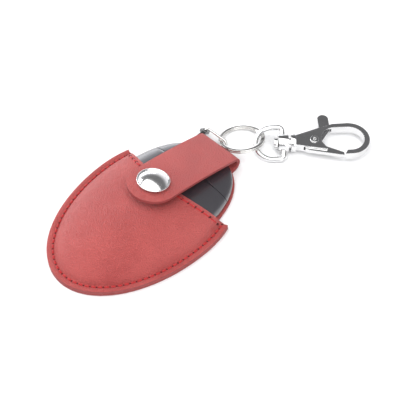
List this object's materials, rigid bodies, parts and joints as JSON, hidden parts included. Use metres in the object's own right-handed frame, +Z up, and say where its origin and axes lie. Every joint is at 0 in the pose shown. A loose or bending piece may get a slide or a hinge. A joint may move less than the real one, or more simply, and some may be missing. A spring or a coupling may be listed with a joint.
{
  "type": "keychain flashlight in leather pouch",
  "caption": "Flat keychain flashlight in a red leather pouch with a snap strap, on a split ring with a swivel snap hook.",
  "frame": {"origin": "on the table under the pouch's back, 8 mm tipward of the widest place, on the pouch's centre line", "axes": "+Z up from the pouch's flat back, +X along the swivel hook from the rings to its round end"},
  "size_m": [0.1204, 0.0764, 0.0179],
  "materials": {
    "red_leather": "fine grained red leather",
    "red_thread": "waxed red thread",
    "snap_metal": "polished",
    "case_plastic": "satin dark grey",
    "button_rubber": "matte",
    "switch_body": "satin",
    "board": "green solder mask",
    "cell_steel": "satin",
    "spring_brass": "satin",
    "led_resin": "clear white",
    "reflector_chrome": "mirror bright",
    "clear_lens": "clear",
    "screw_steel": "plain",
    "lug_metal": "dark nickel",
    "ring_nickel": "polished nickel",
    "hook_nickel": "polished nickel",
    "spring_steel": "plain wire"
  },
  "bodies": {
    "pouch": {"back_panel": "red_leather", "front_panel": "red_leather", "edge_stitching": "red_thread", "mouth_stitching": "red_thread", "snap_stud": "snap_metal", "snap_post": "snap_metal", "lower_shell": "case_plastic", "upper_shell": "case_plastic", "end_cap": "case_plastic", "tact_switch": "switch_body", "circuit_board": "board", "coin_cells": "cell_steel", "battery_clip": "spring_brass", "led": "led_resin", "reflector": "reflector_chrome", "lens": "clear_lens", "case_screws": "screw_steel", "ring_lug": "lug_metal"},
    "strap": {"strap": "red_leather", "snap_cap": "snap_metal", "snap_socket": "snap_metal"},
    "button": {"button": "button_rubber"},
    "small_link": {"small_link": "ring_nickel"},
    "split_ring": {"split_ring": "ring_nickel"},
    "swivel_eye": {"swivel_eye": "hook_nickel"},
    "hook": {"swivel_stud": "hook_nickel", "hook_body": "hook_nickel", "gate_rivet": "hook_nickel", "gate_spring": "spring_steel"},
    "gate": {"gate_lever": "hook_nickel"}
  },
  "joints": [
    {"name": "strap_fold", "type": "hinge", "parent": "pouch", "child": "strap", "pos_m": [0.02977, 0.02805, 0.00335], "axis": [-0.6858, 0.7278, 0], "range_deg": [0, 75]},
    {"name": "button_press", "type": "slide", "parent": "pouch", "child": "button", "axis": [0, 0, -1], "range_m": [0, 0.0005], "stiffness_N_per_m": 600, "springref_m": -0.0005},
    {"name": "link_swing", "type": "hinge", "parent": "pouch", "child": "small_link", "pos_m": [0.0261, 0.04026, 0.00245], "axis": [0.377, 0.3553, 0.8554], "range_deg": [0, 15]},
    {"name": "ring_flap", "type": "hinge", "parent": "small_link", "child": "split_ring", "pos_m": [0.03182, 0.03516, 0.00245], "axis": [-0.0181, -0.969, 0.2465], "range_deg": [-5, 40]},
    {"name": "eye_flap", "type": "hinge", "parent": "split_ring", "child": "swivel_eye", "pos_m": [0.045, 0.0319, 0.00339], "axis": [0, -0.9348, -0.3551], "range_deg": [-6, 40]},
    {"name": "hook_swivel", "type": "hinge", "parent": "swivel_eye", "child": "hook", "pos_m": [0.0583, 0.0319, 0.00339], "axis": [1, 0, 0], "continuous": true},
    {"name": "gate_open", "type": "hinge", "parent": "hook", "child": "gate", "pos_m": [0.0674, 0.0319, 0.00339], "axis": [0, 0, 1], "range_deg": [0, 22], "stiffness_Nm_per_rad": 0.02, "springref_deg": -8.59}
  ]
}
